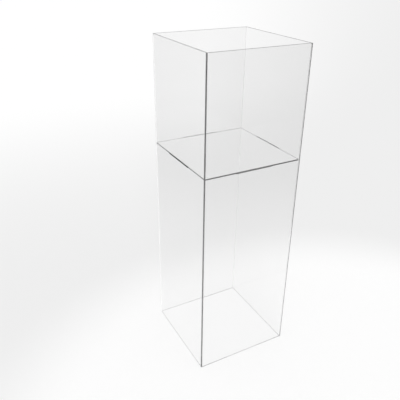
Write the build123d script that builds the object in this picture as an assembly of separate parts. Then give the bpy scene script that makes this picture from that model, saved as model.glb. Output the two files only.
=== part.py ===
from build123d import *
import os

# Open-topped display case in clear acrylic sheet, in millimetres.
# The origin is the centre of the footprint, on the floor. +Z is up, and -Y is the front.
# Front and back walls run the full width, and the side walls stand between them.
# One display shelf spans the inside, carried by four tabs in slots through the walls.

# Overall sizes
case_width = 400.0
case_depth = 400.0
case_height = 1265.0

# Sheet stock
sheet_thickness = 5.0
edge_arris = 0.4

# Display shelf, measured to its underside
shelf_underside = 848.0
shelf_wall_gap = 0.2

# Tabs of the shelf and their slots
tab_length = 150.0
tab_nose_radius = 0.6
slot_clearance = 0.15

# Inside faces, and what the side walls and the shelf span between them
inner_half_width = case_width / 2 - sheet_thickness
inner_half_depth = case_depth / 2 - sheet_thickness
plate_half_width = inner_half_width - shelf_wall_gap
plate_half_depth = inner_half_depth - shelf_wall_gap

# A cut corner is as round as the slot clearance, so a square-edged tab seats in it
cut_corner_radius = slot_clearance
arris = min(edge_arris, sheet_thickness / 4)
nose_radius = min(tab_nose_radius, sheet_thickness / 2)

same_place = 0.01


def slot_profile():
    """Closed slot in a wall's own plane, with the tab resting on its lower edge."""
    slot_length = tab_length + 2 * slot_clearance
    slot_height = sheet_thickness + slot_clearance
    outline = RectangleRounded(slot_length, slot_height, cut_corner_radius)
    return Pos(0, shelf_underside + slot_height / 2) * outline


def slotted_sheet(length):
    """Wall sheet with its slot, standing on the floor and centred in its thickness on Y."""
    outline = Pos(0, case_height / 2) * Rectangle(length, case_height) - slot_profile()
    return extrude(Plane.XZ * outline, amount=sheet_thickness / 2, both=True)


def rim_edges(sheet):
    """All edges of a standing sheet's bottom and top rims."""
    levels = sheet.edges().group_by(Axis.Z)
    return levels[0] + levels[-1]


def end_wall():
    """Front wall, which runs the full width and covers the side walls' ends."""
    sheet = slotted_sheet(case_width)
    on_outer_face = sheet.edges().filter_by(Axis.Z).group_by(Axis.Y)[0]
    across = on_outer_face.group_by(Axis.X)
    sheet = chamfer(rim_edges(sheet) + across[0] + across[-1], arris)
    return Pos(0, (sheet_thickness - case_depth) / 2) * sheet


def side_wall():
    """Left wall, which butts between the front and back walls with square ends."""
    sheet = slotted_sheet(2 * inner_half_depth)
    sheet = chamfer(rim_edges(sheet).filter_by(Axis.X), arris)
    return Pos((sheet_thickness - case_width) / 2) * Rot(0, 0, 90) * sheet


def tab_corners(outline, half_width, half_depth):
    """Corners of the shelf beside its tabs, at these distances out from the centre."""

    def beside_tab(corner):
        x_gap = abs(abs(corner.X) - half_width)
        y_gap = abs(abs(corner.Y) - half_depth)
        x_tab_gap = abs(abs(corner.X) - tab_length / 2)
        y_tab_gap = abs(abs(corner.Y) - tab_length / 2)
        return min(x_gap + y_tab_gap, y_gap + x_tab_gap) < same_place

    return outline.vertices().filter_by(beside_tab)


def tabbed_shelf():
    """Shelf plate with one tab a side, each ending flush with its wall's outer face."""
    outline = Rectangle(2 * plate_half_width, 2 * plate_half_depth)
    outline += Rectangle(case_width, tab_length)
    outline += Rectangle(tab_length, case_depth)
    roots = tab_corners(outline, plate_half_width, plate_half_depth)
    outline = fillet(roots, cut_corner_radius)
    noses = tab_corners(outline, case_width / 2, case_depth / 2)
    outline = fillet(noses, nose_radius)
    return extrude(Pos(0, 0, shelf_underside) * outline, amount=sheet_thickness)


turned_round = Rot(0, 0, 180)

pieces = {
    "wall_front": end_wall(),
    "wall_back": turned_round * end_wall(),
    "wall_left": side_wall(),
    "wall_right": turned_round * side_wall(),
    "shelf": tabbed_shelf(),
}

os.makedirs("parts", exist_ok=True)
for node, piece in pieces.items():
    piece.label = node
    export_step(piece, f"parts/{node}.step")
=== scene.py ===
import logging
from dataclasses import dataclass, field
from enum import Enum
from typing import Callable, Dict, Iterable, Optional, Tuple, Union

import bmesh
import bpy
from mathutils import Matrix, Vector


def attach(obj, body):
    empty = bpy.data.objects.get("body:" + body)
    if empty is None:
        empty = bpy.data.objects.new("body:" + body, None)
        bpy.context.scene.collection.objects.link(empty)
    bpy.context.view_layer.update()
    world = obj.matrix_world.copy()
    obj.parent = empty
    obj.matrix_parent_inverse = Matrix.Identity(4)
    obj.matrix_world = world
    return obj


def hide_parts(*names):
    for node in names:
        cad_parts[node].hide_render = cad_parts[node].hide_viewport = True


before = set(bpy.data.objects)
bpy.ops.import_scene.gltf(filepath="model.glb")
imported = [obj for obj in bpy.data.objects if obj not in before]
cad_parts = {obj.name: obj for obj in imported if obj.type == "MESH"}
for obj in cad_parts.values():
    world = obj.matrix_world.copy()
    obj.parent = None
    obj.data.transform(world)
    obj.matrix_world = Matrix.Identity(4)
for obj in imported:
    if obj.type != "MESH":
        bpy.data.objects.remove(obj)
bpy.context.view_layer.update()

# An open-topped display case of clear acrylic sheet: four upright walls with closed slots,
# and a display shelf whose tabs pass through them. Lengths are in metres.

log = logging.getLogger("display_case")

Point = Tuple[float, float, float]
Span = Tuple[float, float]
Tint = Tuple[float, float, float, float]
Number = Union[float, bpy.types.NodeSocket]

MILLIMETRE = 0.001
SAME_PLACE = 0.05 * MILLIMETRE
SQUARE_ON = 0.95
WALL_SLOT = "clear_wall_sheet"
SHELF_SLOT = "clear_shelf_sheet"
ARRIS_FACETS = 2
NOSE_FACETS = 3
HALF_A_MIRRORING = 0.5


def grey(level: float) -> Tint:
    """A neutral colour of one level, with full alpha."""
    return (level, level, level, 1.0)


class Side(Enum):
    """Which side of the case a wall stands on."""

    FRONT = "front"
    RIGHT = "right"
    BACK = "back"
    LEFT = "left"


class Axis(Enum):
    """The axis that a sheet is thin along."""

    X = 0
    Y = 1
    Z = 2


class Cut(Enum):
    """How a face of the sheet looks, in the order that a piece lists its finishes.

    The dark edge and the dark joint are painted shade, and the pale edge and the pale joint painted light;
    which edge is dark or pale was fitted to how its line looks from the camera.
    """

    CAST_FACE = 0
    SAWN_EDGE = 1
    PAINTED_SHADE_EDGE = 2
    PAINTED_LIGHT_EDGE = 3
    PAINTED_SHADE_JOINT = 4
    PAINTED_LIGHT_JOINT = 5


@dataclass
class NodeBench:
    """Adds and wires the nodes of one material or world."""

    tree: bpy.types.NodeTree

    def add(self, kind: str, **settings: object) -> bpy.types.Node:
        """Add a node and set its plain properties.

        Args:
            kind: The node's type, without the ShaderNode prefix.
            settings: Properties of the node, by name.

        Returns:
            The new node.
        """
        node = self.tree.nodes.new("ShaderNode" + kind)
        for name, value in settings.items():
            setattr(node, name, value)
        return node

    def feed(self, target: bpy.types.NodeSocket, value: object) -> None:
        """Link a socket to an input, or set a plain value there.

        Args:
            target: The input to feed.
            value: An output socket, or a plain value.
        """
        if isinstance(value, bpy.types.NodeSocket):
            self.tree.links.new(value, target)
        else:
            target.default_value = value

    def math(self, operation: str, first: Number, second: Number = 0.0) -> bpy.types.NodeSocket:
        """Combine two numbers.

        Args:
            operation: Name of the Math node's operation.
            first: A socket or a number.
            second: A socket or a number.

        Returns:
            The result's socket.
        """
        node = self.add("Math", operation=operation)
        self.feed(node.inputs[0], first)
        self.feed(node.inputs[1], second)
        return node.outputs[0]

    def blend(self, share: Number, first: Number, second: Number) -> bpy.types.NodeSocket:
        """Blend two numbers.

        Args:
            share: 0 for the first, 1 for the second.
            first: A socket or a number.
            second: A socket or a number.

        Returns:
            The blended number's socket.
        """
        node = self.add("Mix", data_type="FLOAT")
        for place, value in zip((0, 2, 3), (share, first, second)):
            self.feed(node.inputs[place], value)
        return node.outputs[0]

    def remap(self, value: Number, start: Span, end: Span) -> bpy.types.NodeSocket:
        """Carry a number smoothly from one range to another, held at its ends.

        Args:
            value: The socket to read.
            start: The range it comes in.
            end: The range it leaves in.

        Returns:
            The remapped socket.
        """
        node = self.add("MapRange", clamp=True, interpolation_type="SMOOTHSTEP")
        self.feed(node.inputs["Value"], value)
        node.inputs["From Min"].default_value, node.inputs["From Max"].default_value = start
        node.inputs["To Min"].default_value, node.inputs["To Max"].default_value = end
        return node.outputs["Result"]

    def noise(
        self,
        place: bpy.types.NodeSocket,
        scale: float,
        stretch: Point,
        detail: float,
    ) -> bpy.types.NodeSocket:
        """Smooth noise over a piece, stretched by axis.

        Args:
            place: The coordinates to read.
            scale: Waves per metre.
            stretch: Factor on each axis of the coordinates.
            detail: Octaves of finer noise.

        Returns:
            The noise's factor.
        """
        mapping = self.add("Mapping")
        mapping.inputs["Scale"].default_value = stretch
        self.feed(mapping.inputs["Vector"], place)
        node = self.add("TexNoise")
        self.feed(node.inputs["Vector"], mapping.outputs[0])
        node.inputs["Scale"].default_value = scale
        node.inputs["Detail"].default_value = detail
        return node.outputs["Fac"]


@dataclass(frozen=True)
class AcrylicFinish:
    """A finish of acrylic sheet. What isn't given is as on a satin cut edge."""

    name: str
    tint: Tint
    clearness: float
    roughness: Span = (0.3, 0.45)
    rough_noise: Span = (0.35, 0.75)
    wave_scale: float = 60.0
    wave_depth: float = 0.00002
    wave_octaves: float = 2.0
    fine_scale: float = 1500.0
    fine_depth: float = 0.00001
    fine_octaves: float = 3.0
    streaked: bool = False
    streak_squeeze: float = 0.06
    refraction: float = 1.49
    face_pass: float = 0.96

    def build(self, thin: Axis) -> bpy.types.Material:
        """Make the finish for a sheet that is thin along one axis.

        Args:
            thin: The sheet's thin axis, which a saw's streaks run along.

        Returns:
            A material that lets lamps and soft light through unbent.
        """
        stretch = [1.0, 1.0, 1.0]
        if self.streaked:
            stretch[thin.value] = self.streak_squeeze
        material = bpy.data.materials.new(f"{self.name}_{thin.name.lower()}")
        material.use_nodes = True
        bench = NodeBench(material.node_tree)
        nodes = material.node_tree.nodes
        shader = nodes["Principled BSDF"]
        place = bench.add("TexCoord").outputs["Object"]
        broad = bench.noise(place, self.wave_scale, tuple(stretch), self.wave_octaves)
        fine = bench.noise(place, self.fine_scale, tuple(stretch), self.fine_octaves)
        shader.inputs["Base Color"].default_value = self.tint
        shader.inputs["IOR"].default_value = self.refraction
        shader.inputs["Transmission Weight"].default_value = self.clearness
        bench.feed(shader.inputs["Roughness"], bench.remap(fine, self.rough_noise, self.roughness))
        relief = self.relief(bench, broad, self.wave_depth, None)
        bench.feed(shader.inputs["Normal"], self.relief(bench, fine, self.fine_depth, relief))
        through = bench.add("BsdfTransparent")
        through.inputs["Color"].default_value = tuple(c * self.face_pass for c in self.tint[:3]) + (1.0,)
        path = bench.add("LightPath")
        soft = bench.math("MAXIMUM", path.outputs["Is Shadow Ray"], path.outputs["Is Diffuse Ray"])
        mix = bench.add("MixShader")
        for socket, value in zip(mix.inputs, (soft, shader.outputs[0], through.outputs[0])):
            bench.feed(socket, value)
        bench.feed(nodes["Material Output"].inputs["Surface"], mix.outputs[0])
        return material

    @staticmethod
    def relief(
        bench: NodeBench,
        height: bpy.types.NodeSocket,
        depth: float,
        under: Optional[bpy.types.NodeSocket],
    ) -> bpy.types.NodeSocket:
        """Add one layer of relief.

        Args:
            bench: The material's bench.
            height: The pattern's height.
            depth: Its depth in metres.
            under: The layer below, or None.

        Returns:
            The normal after this layer.
        """
        bump = bench.add("Bump")
        bump.inputs["Strength"].default_value = 1.0
        bump.inputs["Distance"].default_value = depth
        bench.feed(bump.inputs["Height"], height)
        if under is not None:
            bench.feed(bump.inputs["Normal"], under)
        return bump.outputs["Normal"]


FINISHES: Dict[Cut, AcrylicFinish] = {
    Cut.CAST_FACE: AcrylicFinish(
        "acrylic_cast_face",
        grey(0.987),
        1.0,
        roughness=(0.0, 0.02),
        wave_scale=9.0,
        wave_depth=0.00001,
        fine_scale=700.0,
        fine_depth=0.0,
    ),
    Cut.SAWN_EDGE: AcrylicFinish("acrylic_sawn_edge", grey(0.17), 0.5, streaked=True),
    # The next four tints are painted: shade on the dark edge and the dark joint, light on the pale edge and
    # the pale joint.
    Cut.PAINTED_SHADE_EDGE: AcrylicFinish("acrylic_painted_shade_edge", grey(0.02), 0.05, streaked=True),
    Cut.PAINTED_LIGHT_EDGE: AcrylicFinish("acrylic_painted_light_edge", grey(0.88), 0.1, streaked=True),
    Cut.PAINTED_SHADE_JOINT: AcrylicFinish("acrylic_painted_shade_joint", grey(0.1), 0.5),
    Cut.PAINTED_LIGHT_JOINT: AcrylicFinish("acrylic_painted_light_joint", grey(0.68), 0.1),
}


@dataclass
class SheetBench:
    """Cuts one sheet of acrylic with Blender's mesh tools. Its place stays in its mesh."""

    name: str
    low: Point
    high: Point
    piece: Optional[bpy.types.Object] = field(default=None, init=False)

    def blank(self) -> None:
        """Add the sheet's blank at its size and place, and start to cut it."""
        bpy.ops.object.select_all(action="DESELECT")
        middle = [(a + b) / 2 for a, b in zip(self.low, self.high)]
        size = [b - a for a, b in zip(self.low, self.high)]
        bpy.ops.mesh.primitive_cube_add(size=1.0, location=middle, scale=size)
        self.piece = bpy.context.active_object
        self.piece.name = self.name
        self.piece.data.name = self.name
        bpy.ops.object.transform_apply(location=True, rotation=True, scale=True)
        bpy.ops.object.mode_set(mode="EDIT")

    def pick(self, mode: str, wanted: Callable[[object], bool]) -> int:
        """Select faces or edges by place, in edit mode.

        Args:
            mode: FACE or EDGE.
            wanted: Says whether an element is picked.

        Returns:
            How many were picked.
        """
        bpy.ops.mesh.select_mode(type=mode)
        bpy.ops.mesh.select_all(action="DESELECT")
        mesh = bmesh.from_edit_mesh(self.piece.data)
        picked = [e for e in (mesh.faces if mode == "FACE" else mesh.edges) if wanted(e)]
        for element in picked:
            element.select_set(True)
        mesh.select_flush_mode()
        bmesh.update_edit_mesh(self.piece.data)
        return len(picked)

    def score(self, axis: int, places: Iterable[float]) -> None:
        """Divide the sheet by planes square to an axis.

        Args:
            axis: 0, 1 or 2.
            places: Where the planes stand along it.
        """
        normal = [0.0, 0.0, 0.0]
        normal[axis] = 1.0
        for place in places:
            bpy.ops.mesh.select_all(action="SELECT")
            bpy.ops.mesh.bisect(plane_co=[n * place for n in normal], plane_no=normal)

    def pierce(self, axis: int, inside: Callable[[Vector], bool]) -> None:
        """Cut a hole right through between the two big faces.

        Args:
            axis: The axis through the sheet.
            inside: Says whether a face's centre is in the hole.
        """
        self.pick("FACE", lambda f: abs(f.normal[axis]) > SQUARE_ON and inside(f.calc_center_median()))
        bpy.ops.mesh.delete(type="FACE")
        self.pick("EDGE", lambda e: e.is_boundary)
        bpy.ops.mesh.bridge_edge_loops()
        bpy.ops.mesh.select_all(action="SELECT")
        bpy.ops.mesh.normals_make_consistent(inside=False)

    def ease(self, wanted: Callable[[object], bool], width: float, segments: int) -> None:
        """Scrape picked edges to a small rounded arris.

        Args:
            wanted: Says whether an edge is eased.
            width: Width of the arris.
            segments: Facets across it.
        """
        if self.pick("EDGE", wanted):
            bpy.ops.mesh.bevel(
                offset=width,
                offset_type="OFFSET",
                segments=segments,
                profile=0.5,
                affect="EDGES",
                clamp_overlap=True,
            )

    def dress(self, thin: Axis, kind: Callable[[bpy.types.MeshPolygon], Cut]) -> None:
        """Stop cutting, and give each face of the piece its finish.

        Args:
            thin: The sheet's thin axis.
            kind: Names the cut of a face.
        """
        bpy.ops.object.mode_set(mode="OBJECT")
        mesh = self.piece.data
        kinds = [kind(face) for face in mesh.polygons]
        used = sorted(set(kinds), key=lambda cut: cut.value)
        for cut in used:
            mesh.materials.append(FinishRack.get(cut, thin))
        for face, cut in zip(mesh.polygons, kinds):
            face.material_index = used.index(cut)

    def place(self, node: str, slot: str) -> bpy.types.Object:
        """Let the piece stand for its node and ride with the case.

        Args:
            node: The CAD node that it replaces.
            slot: The record's material slot; not used.

        Returns:
            The finished piece.
        """
        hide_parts(node)
        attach(self.piece, "root")
        return self.piece


class FinishRack:
    """Holds each finish once it is made, so that pieces share it."""

    made: Dict[Tuple[Cut, Axis], bpy.types.Material] = {}

    @classmethod
    def get(cls, cut: Cut, thin: Axis) -> bpy.types.Material:
        """Take a finish from the rack, and make it the first time.

        Args:
            cut: How the face looks.
            thin: The sheet's thin axis.

        Returns:
            The material.
        """
        if (cut, thin) not in cls.made:
            cls.made[cut, thin] = FINISHES[cut].build(thin)
        return cls.made[cut, thin]


@dataclass(frozen=True)
class Sizes:
    """Sizes shared by the case's pieces."""

    half_width: float = 0.2
    height: float = 1.265
    sheet: float = 0.005
    arris: float = 0.0004
    shelf_underside: float = 0.848
    shelf_gap: float = 0.0002
    tab_length: float = 0.150
    tab_nose: float = 0.0006
    slot_slack: float = 0.00015
    air: float = 0.00004

    @property
    def inner(self) -> float:
        """Distance from the middle to a wall's inside face."""
        return self.half_width - self.sheet


@dataclass
class Wall:
    """One upright wall with its closed slot.

    A pale run is the stretch of an end, from one height to another, that is painted light with a pale tint.
    """

    side: Side
    name: str
    node: str
    sizes: Sizes
    low_end: Cut
    high_end: Cut
    low_painted_light_run: Span = (0.0, 0.0)
    high_painted_light_run: Span = (0.0, 0.0)

    @property
    def covers_ends(self) -> bool:
        """True for the front and back walls, which run the full width."""
        return self.side in (Side.FRONT, Side.BACK)

    @property
    def along(self) -> int:
        """The level axis that the wall runs along."""
        return 0 if self.covers_ends else 1

    @property
    def thin(self) -> Axis:
        """The axis through the wall."""
        return Axis(1 - self.along)

    @property
    def sign(self) -> float:
        """Which way the wall's outer face looks along its thin axis."""
        return -1.0 if self.side in (Side.FRONT, Side.LEFT) else 1.0

    @property
    def reach(self) -> float:
        """Distance from the middle to either end of the wall."""
        return self.sizes.half_width if self.covers_ends else self.sizes.inner - self.sizes.air

    def is_on_rim(self, edge: bmesh.types.BMEdge) -> bool:
        """Find the edges of the top and bottom rims that are scraped.

        Args:
            edge: An edge of the blank.

        Returns:
            True on a rim's long edges, and on the bare ends of a wall that covers the others.
        """
        a, b = (corner.co for corner in edge.verts)
        if abs(a.z - b.z) > SAME_PLACE or min(a.z, self.sizes.height - a.z) > SAME_PLACE:
            return False
        long_edge = abs(a[self.thin.value] - b[self.thin.value]) < SAME_PLACE
        return long_edge or self.covers_ends and abs(abs(a[self.along]) - self.reach) < SAME_PLACE

    def is_on_corner(self, edge: bmesh.types.BMEdge) -> bool:
        """Find the upright outer corners of a wall that covers the others' ends.

        Args:
            edge: An edge of the blank.

        Returns:
            True on such a corner.
        """
        outer = self.sign * self.sizes.half_width
        a, b = (corner.co for corner in edge.verts)
        at_end = all(abs(abs(p[self.along]) - self.reach) < SAME_PLACE for p in (a, b))
        outside = all(abs(p[self.thin.value] - outer) < SAME_PLACE for p in (a, b))
        return self.covers_ends and abs(a.z - b.z) > SAME_PLACE and at_end and outside

    def cut_of(self, face: bpy.types.MeshPolygon) -> Cut:
        """Name the cut of one of the wall's faces.

        Args:
            face: A face of the finished mesh.

        Returns:
            Its cut.
        """
        if abs(face.normal[self.thin.value]) > SQUARE_ON:
            return Cut.CAST_FACE
        place = face.center[self.along]
        if abs(face.normal.z) < SQUARE_ON and self.reach - abs(place) < 2 * self.sizes.arris:
            run, plain = self.low_painted_light_run, self.low_end
            if place >= 0:
                run, plain = self.high_painted_light_run, self.high_end
            # Painted light: a pale run of an end gets the pale tint.
            return Cut.PAINTED_LIGHT_EDGE if run[0] < face.center.z < run[1] else plain
        in_slot = abs(face.center.z - self.sizes.shelf_underside) < 2 * self.sizes.sheet
        # Painted shade: the slot's faces are darkened in every wall but the back one.
        return Cut.PAINTED_SHADE_EDGE if in_slot and self.side is not Side.BACK else Cut.SAWN_EDGE

    def build(self) -> bpy.types.Object:
        """Cut, slot, ease and dress the wall.

        Returns:
            The finished piece.
        """
        s, along, across = self.sizes, self.along, self.thin.value
        low, high = [0.0, 0.0, 0.0], [0.0, 0.0, s.height]
        low[along], high[along] = -self.reach, self.reach
        low[across], high[across] = sorted((self.sign * s.inner, self.sign * s.half_width))
        bench = SheetBench(self.name, tuple(low), tuple(high))
        bench.blank()
        half_slot = s.tab_length / 2 + s.slot_slack
        sill, lintel = s.shelf_underside - s.air, s.shelf_underside + s.sheet + s.slot_slack
        bench.score(along, (-half_slot, half_slot))
        breaks = {z for z in (*self.low_painted_light_run, *self.high_painted_light_run) if 0.0 < z < sill - SAME_PLACE}
        bench.score(Axis.Z.value, (sill, lintel, *sorted(breaks)))
        bench.pierce(across, lambda c: abs(c[along]) < half_slot and sill < c.z < lintel)
        bench.ease(lambda e: self.is_on_rim(e) or self.is_on_corner(e), s.arris, ARRIS_FACETS)
        bench.dress(self.thin, self.cut_of)
        return bench.place(self.node, WALL_SLOT)


@dataclass
class TabbedShelf:
    """The display shelf, with one tab through each wall."""

    name: str
    node: str
    sizes: Sizes
    noses: Dict[Side, Cut]

    @property
    def plate(self) -> float:
        """Distance from the middle to the plate's edge between the walls."""
        return self.sizes.inner - self.sizes.shelf_gap

    def is_tab_root(self, face: bmesh.types.BMFace, axis: int, sign: float) -> bool:
        """Find the stretch of the plate's edge that one tab is drawn out of.

        Args:
            face: A face of the plate.
            axis: The axis that the tab points along.
            sign: Which way it points.

        Returns:
            True on that stretch.
        """
        across = face.calc_center_median()[1 - axis]
        return face.normal[axis] * sign > SQUARE_ON and abs(across) < self.sizes.tab_length / 2

    def is_at_nose(self, edge: bmesh.types.BMEdge) -> bool:
        """Find the upright corners at the tabs' ends.

        Args:
            edge: An edge of the blank.

        Returns:
            True on such a corner.
        """
        a, b = (corner.co for corner in edge.verts)
        far, near = max(abs(a.x), abs(a.y)), min(abs(a.x), abs(a.y))
        at_side = abs(near - self.sizes.tab_length / 2) < SAME_PLACE
        return abs(a.z - b.z) > SAME_PLACE and far > self.sizes.half_width - SAME_PLACE and at_side

    def cut_of(self, face: bpy.types.MeshPolygon) -> Cut:
        """Name the cut of one of the shelf's faces.

        Args:
            face: A face of the finished mesh.

        Returns:
            Its cut.
        """
        if abs(face.normal.z) > SQUARE_ON:
            return Cut.CAST_FACE
        x, y = face.center.x, face.center.y
        if max(abs(x), abs(y)) < self.sizes.inner + SAME_PLACE:
            return Cut.SAWN_EDGE
        if abs(x) > abs(y):
            return self.noses[Side.LEFT if x < 0 else Side.RIGHT]
        return self.noses[Side.FRONT if y < 0 else Side.BACK]

    def build(self) -> bpy.types.Object:
        """Cut the plate, draw out its tabs, ease and dress it.

        Returns:
            The finished piece.
        """
        s, plate = self.sizes, self.plate
        half_tab, top = s.tab_length / 2, s.shelf_underside + s.sheet
        bench = SheetBench(self.name, (-plate, -plate, s.shelf_underside), (plate, plate, top))
        bench.blank()
        for axis in (0, 1):
            bench.score(axis, (-half_tab, half_tab))
        for axis in (0, 1):
            for sign in (-1.0, 1.0):
                bench.pick("FACE", lambda face: self.is_tab_root(face, axis, sign))
                shift = [0.0, 0.0, 0.0]
                shift[axis] = sign * (s.half_width - plate)
                bpy.ops.mesh.extrude_region_move(TRANSFORM_OT_translate={"value": shift})
        bench.ease(self.is_at_nose, s.tab_nose, NOSE_FACETS)
        bench.dress(Axis.Z, self.cut_of)
        return bench.place(self.node, SHELF_SLOT)


@dataclass
class Studio:
    """Pale floor and background, soft light, what the sheet mirrors, and the camera."""

    floor_half: float = 30.0
    pool_middle: Point = (0.15, -0.85, 0.0)
    pool_edge: Span = (1.1, 1.6)
    floor_tone: float = 0.985
    # Painted light on the background: it brightens far behind the case and to the left.
    painted_light_tone: float = 1.0
    wall_tone: float = 0.86
    painted_light_way: Span = (0.45, 0.85)
    painted_light_from: Span = (0.6, 4.0)
    glow_share: float = 0.6
    room_level: float = 0.65
    mirrored_left: float = 0.7
    mirrored_right: float = 0.95
    mirrored_turn: Span = (-0.5, 0.5)
    mirrored_dim: float = 0.06
    dim_way: Point = (0.616, -0.788, 0.0)
    dim_spread: Span = (0.85, 0.97)
    mirrored_top: float = 0.95
    top_from: Span = (0.05, 0.3)
    near_floor: Span = (0.5, 2.2)
    sun_strength: float = 2.2
    sun_softness: float = 0.35
    sun_from: Point = (-0.366, -0.785, 0.5)
    sun_height: float = 3.0
    camera_place: Point = (-0.922545, -1.490878, 1.545430)
    camera_turn: Point = (1.0921758, -0.0113212, -0.4947770)
    camera_lens: float = 44.17928
    camera_sensor: float = 36.0
    camera_nearest: float = 0.01
    sheet_bounces: int = 128
    clear_bounces: int = 32

    def seen_straight(self, bench: NodeBench) -> bpy.types.NodeSocket:
        """Find rays that reach the camera with no mirroring on the way.

        Args:
            bench: The tree to add to.

        Returns:
            A socket that is 1 for such rays, otherwise 0.
        """
        path = bench.add("LightPath")
        seen = bench.math("MAXIMUM", path.outputs["Is Camera Ray"], path.outputs["Is Transmission Ray"])
        plain = bench.math("LESS_THAN", path.outputs["Glossy Depth"], HALF_A_MIRRORING)
        return bench.math("MULTIPLY", seen, plain)

    def mirrored(self, bench: NodeBench, way: bpy.types.NodeSocket) -> bpy.types.NodeSocket:
        """Set how bright the room looks in the sheet, by the way it looks.

        Args:
            bench: The tree to add to.
            way: A vector from the case towards the room, one metre long.

        Returns:
            The level's socket: pale all round, but for a dim part in front and to the right.
        """
        split = bench.add("SeparateXYZ")
        bench.feed(split.inputs[0], way)
        level = bench.remap(split.outputs["X"], self.mirrored_turn, (self.mirrored_left, self.mirrored_right))
        towards = bench.add("VectorMath", operation="DOT_PRODUCT")
        bench.feed(towards.inputs[0], way)
        towards.inputs[1].default_value = self.dim_way
        dim = bench.remap(towards.outputs["Value"], self.dim_spread, (0.0, 1.0))
        up = bench.remap(split.outputs["Z"], self.top_from, (0.0, 1.0))
        return bench.blend(up, bench.blend(dim, level, self.mirrored_dim), self.mirrored_top)

    def wall(self, bench: NodeBench, way: bpy.types.NodeSocket, deep: Number) -> bpy.types.NodeSocket:
        """Set the tone of the background, with painted light that makes it brighter far behind and to the
        left.

        Args:
            bench: The tree to add to.
            way: A vector from the case towards the background, one metre long.
            deep: 0 in front and beside the case, 1 far behind it.

        Returns:
            The tone's socket.
        """
        split = bench.add("SeparateXYZ")
        bench.feed(split.inputs[0], way)
        aside = bench.remap(split.outputs["X"], self.painted_light_way, (1.0, 0.0))
        return bench.blend(bench.math("MULTIPLY", aside, deep), self.wall_tone, self.painted_light_tone)

    def floor(self) -> None:
        """Lay the pale floor, palest around the case, fading to the background's tone."""
        bpy.ops.object.select_all(action="DESELECT")
        bpy.ops.mesh.primitive_plane_add(size=2 * self.floor_half, location=(0, 0, 0))
        floor = bpy.context.active_object
        floor.name = "studio_floor"
        material = bpy.data.materials.new("pale_floor")
        material.use_nodes = True
        bench = NodeBench(material.node_tree)
        nodes = material.node_tree.nodes
        nodes.remove(nodes["Principled BSDF"])
        place = bench.add("TexCoord").outputs["Object"]
        way = bench.add("VectorMath", operation="NORMALIZE")
        bench.feed(way.inputs[0], place)
        split = bench.add("SeparateXYZ")
        bench.feed(split.inputs[0], place)
        deep = bench.remap(split.outputs["Y"], self.painted_light_from, (0.0, 1.0))
        pool = bench.add("VectorMath", operation="DISTANCE")
        bench.feed(pool.inputs[0], place)
        pool.inputs[1].default_value = self.pool_middle
        outside = bench.remap(pool.outputs["Value"], self.pool_edge, (0.0, 1.0))
        tone = bench.blend(outside, self.floor_tone, self.wall(bench, way.outputs[0], deep))
        away = bench.add("VectorMath", operation="LENGTH")
        bench.feed(away.inputs[0], place)
        far = bench.remap(away.outputs["Value"], self.near_floor, (0.0, 1.0))
        dim = bench.blend(far, 1.0, self.mirrored(bench, way.outputs[0]))
        path = bench.add("LightPath")
        mirrored = bench.math("GREATER_THAN", path.outputs["Glossy Depth"], HALF_A_MIRRORING)
        tone = bench.math("MULTIPLY", tone, bench.blend(mirrored, 1.0, dim))
        glow, paint = bench.add("Emission"), bench.add("BsdfDiffuse")
        bench.feed(glow.inputs["Color"], tone)
        bench.feed(paint.inputs["Color"], tone)
        looked_at = bench.math("SUBTRACT", 1.0, path.outputs["Is Diffuse Ray"])
        mix = bench.add("MixShader")
        bench.feed(mix.inputs["Fac"], bench.math("MULTIPLY", looked_at, self.glow_share))
        bench.feed(mix.inputs[1], paint.outputs[0])
        bench.feed(mix.inputs[2], glow.outputs[0])
        bench.feed(nodes["Material Output"].inputs["Surface"], mix.outputs[0])
        floor.data.materials.append(material)

    def room(self) -> None:
        """Set the even light of the room, and what the sheet mirrors above the floor."""
        world = bpy.data.worlds.new("studio_room")
        bpy.context.scene.world = world
        world.use_nodes = True
        bench = NodeBench(world.node_tree)
        way = bench.add("TexCoord").outputs["Generated"]
        path = bench.add("LightPath")
        level = bench.blend(path.outputs["Is Diffuse Ray"], self.mirrored(bench, way), self.room_level)
        split = bench.add("SeparateXYZ")
        bench.feed(split.inputs[0], way)
        near, far = self.painted_light_from
        deep = bench.remap(split.outputs["Y"], (near / self.floor_half, far / self.floor_half), (0.0, 1.0))
        level = bench.blend(self.seen_straight(bench), level, self.wall(bench, way, deep))
        back = world.node_tree.nodes["Background"]
        bench.feed(back.inputs["Color"], level)
        back.inputs["Strength"].default_value = 1.0

    def window_light(self) -> None:
        """Let wide soft light in from the front left, as from a large window."""
        bpy.ops.object.light_add(type="SUN", location=(0.0, 0.0, self.sun_height))
        lamp = bpy.context.active_object
        lamp.name = "window_light"
        lamp.data.energy = self.sun_strength
        lamp.data.angle = self.sun_softness
        lamp.rotation_euler = (-Vector(self.sun_from)).to_track_quat("-Z", "Y").to_euler()
        lamp.visible_glossy = False
        lamp.visible_transmission = False

    def camera(self) -> None:
        """Place the camera where the photograph was taken, as fitted to the case's corners."""
        bpy.ops.object.camera_add(location=self.camera_place, rotation=self.camera_turn)
        camera = bpy.context.active_object
        camera.name = "photo_camera"
        camera.data.sensor_width = self.camera_sensor
        camera.data.lens = self.camera_lens
        camera.data.clip_start = self.camera_nearest
        bpy.context.scene.camera = camera

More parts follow.
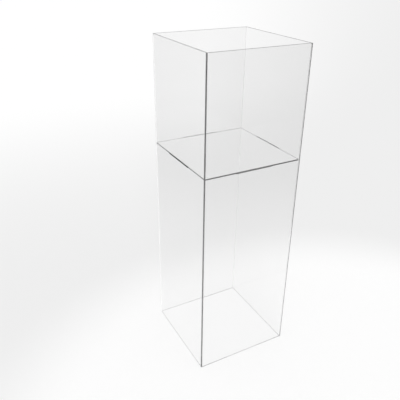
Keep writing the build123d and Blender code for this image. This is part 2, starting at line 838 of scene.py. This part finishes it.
    def light_paths(self) -> None:
        """Let light run the length of a sheet between its faces before it is given up."""
        scene = bpy.context.scene
        scene.view_settings.view_transform = "Standard"
        cycles = scene.cycles
        cycles.max_bounces = self.sheet_bounces
        cycles.transmission_bounces = self.sheet_bounces
        cycles.glossy_bounces = self.sheet_bounces
        cycles.transparent_max_bounces = self.clear_bounces
        cycles.caustics_reflective = False
        cycles.caustics_refractive = False

    def build(self) -> None:
        """Set up the camera, the light and the floor."""
        self.camera()
        self.room()
        self.window_light()
        self.floor()
        self.light_paths()


@dataclass
class DisplayCase:
    """The whole case: four walls and the shelf.

    The right wall's front end is painted light up to one height, and its rear end from another.
    """

    sizes: Sizes = field(default_factory=Sizes)
    front_painted_light_to: float = 0.58
    rear_painted_light_from: float = 0.64

    def build(self) -> Tuple[bpy.types.Object, ...]:
        """Build the case's pieces, in order.

        Returns:
            The finished pieces.
        """
        sawn, dark, pale = Cut.SAWN_EDGE, Cut.PAINTED_SHADE_EDGE, Cut.PAINTED_LIGHT_EDGE
        shade_painted_joint, light_painted_joint = Cut.PAINTED_SHADE_JOINT, Cut.PAINTED_LIGHT_JOINT
        walls = (
            # Painted shade on the front wall's right end.
            Wall(Side.FRONT, "case_front_wall", "wall_front", self.sizes, sawn, dark),
            # Painted light on the back wall's left end.
            Wall(Side.BACK, "case_back_wall", "wall_back", self.sizes, pale, sawn),
            # Painted shade on the left wall's front end, painted light on its rear end.
            Wall(Side.LEFT, "case_left_wall", "wall_left", self.sizes, shade_painted_joint, pale),
            # Painted light on both ends of the right wall, palest along its pale runs.
            Wall(
                Side.RIGHT,
                "case_right_wall",
                "wall_right",
                self.sizes,
                light_painted_joint,
                light_painted_joint,
                low_painted_light_run=(0.0, self.front_painted_light_to),
                high_painted_light_run=(self.rear_painted_light_from, self.sizes.shelf_underside),
            ),
        )
        # Painted shade on the left and right tabs' noses.
        noses = {Side.FRONT: sawn, Side.BACK: sawn, Side.LEFT: dark, Side.RIGHT: dark}
        shelf = TabbedShelf("case_shelf", "shelf", self.sizes, noses)
        return tuple(part.build() for part in (*walls, shelf))


def main() -> None:
    """Build the studio and the case, in order, and report each piece."""
    logging.basicConfig(level=logging.INFO, format="%(message)s")
    Studio().build()
    for piece in DisplayCase().build():
        log.info("%s: %d faces", piece.name, len(piece.data.polygons))


if __name__ == "__main__":
    main()
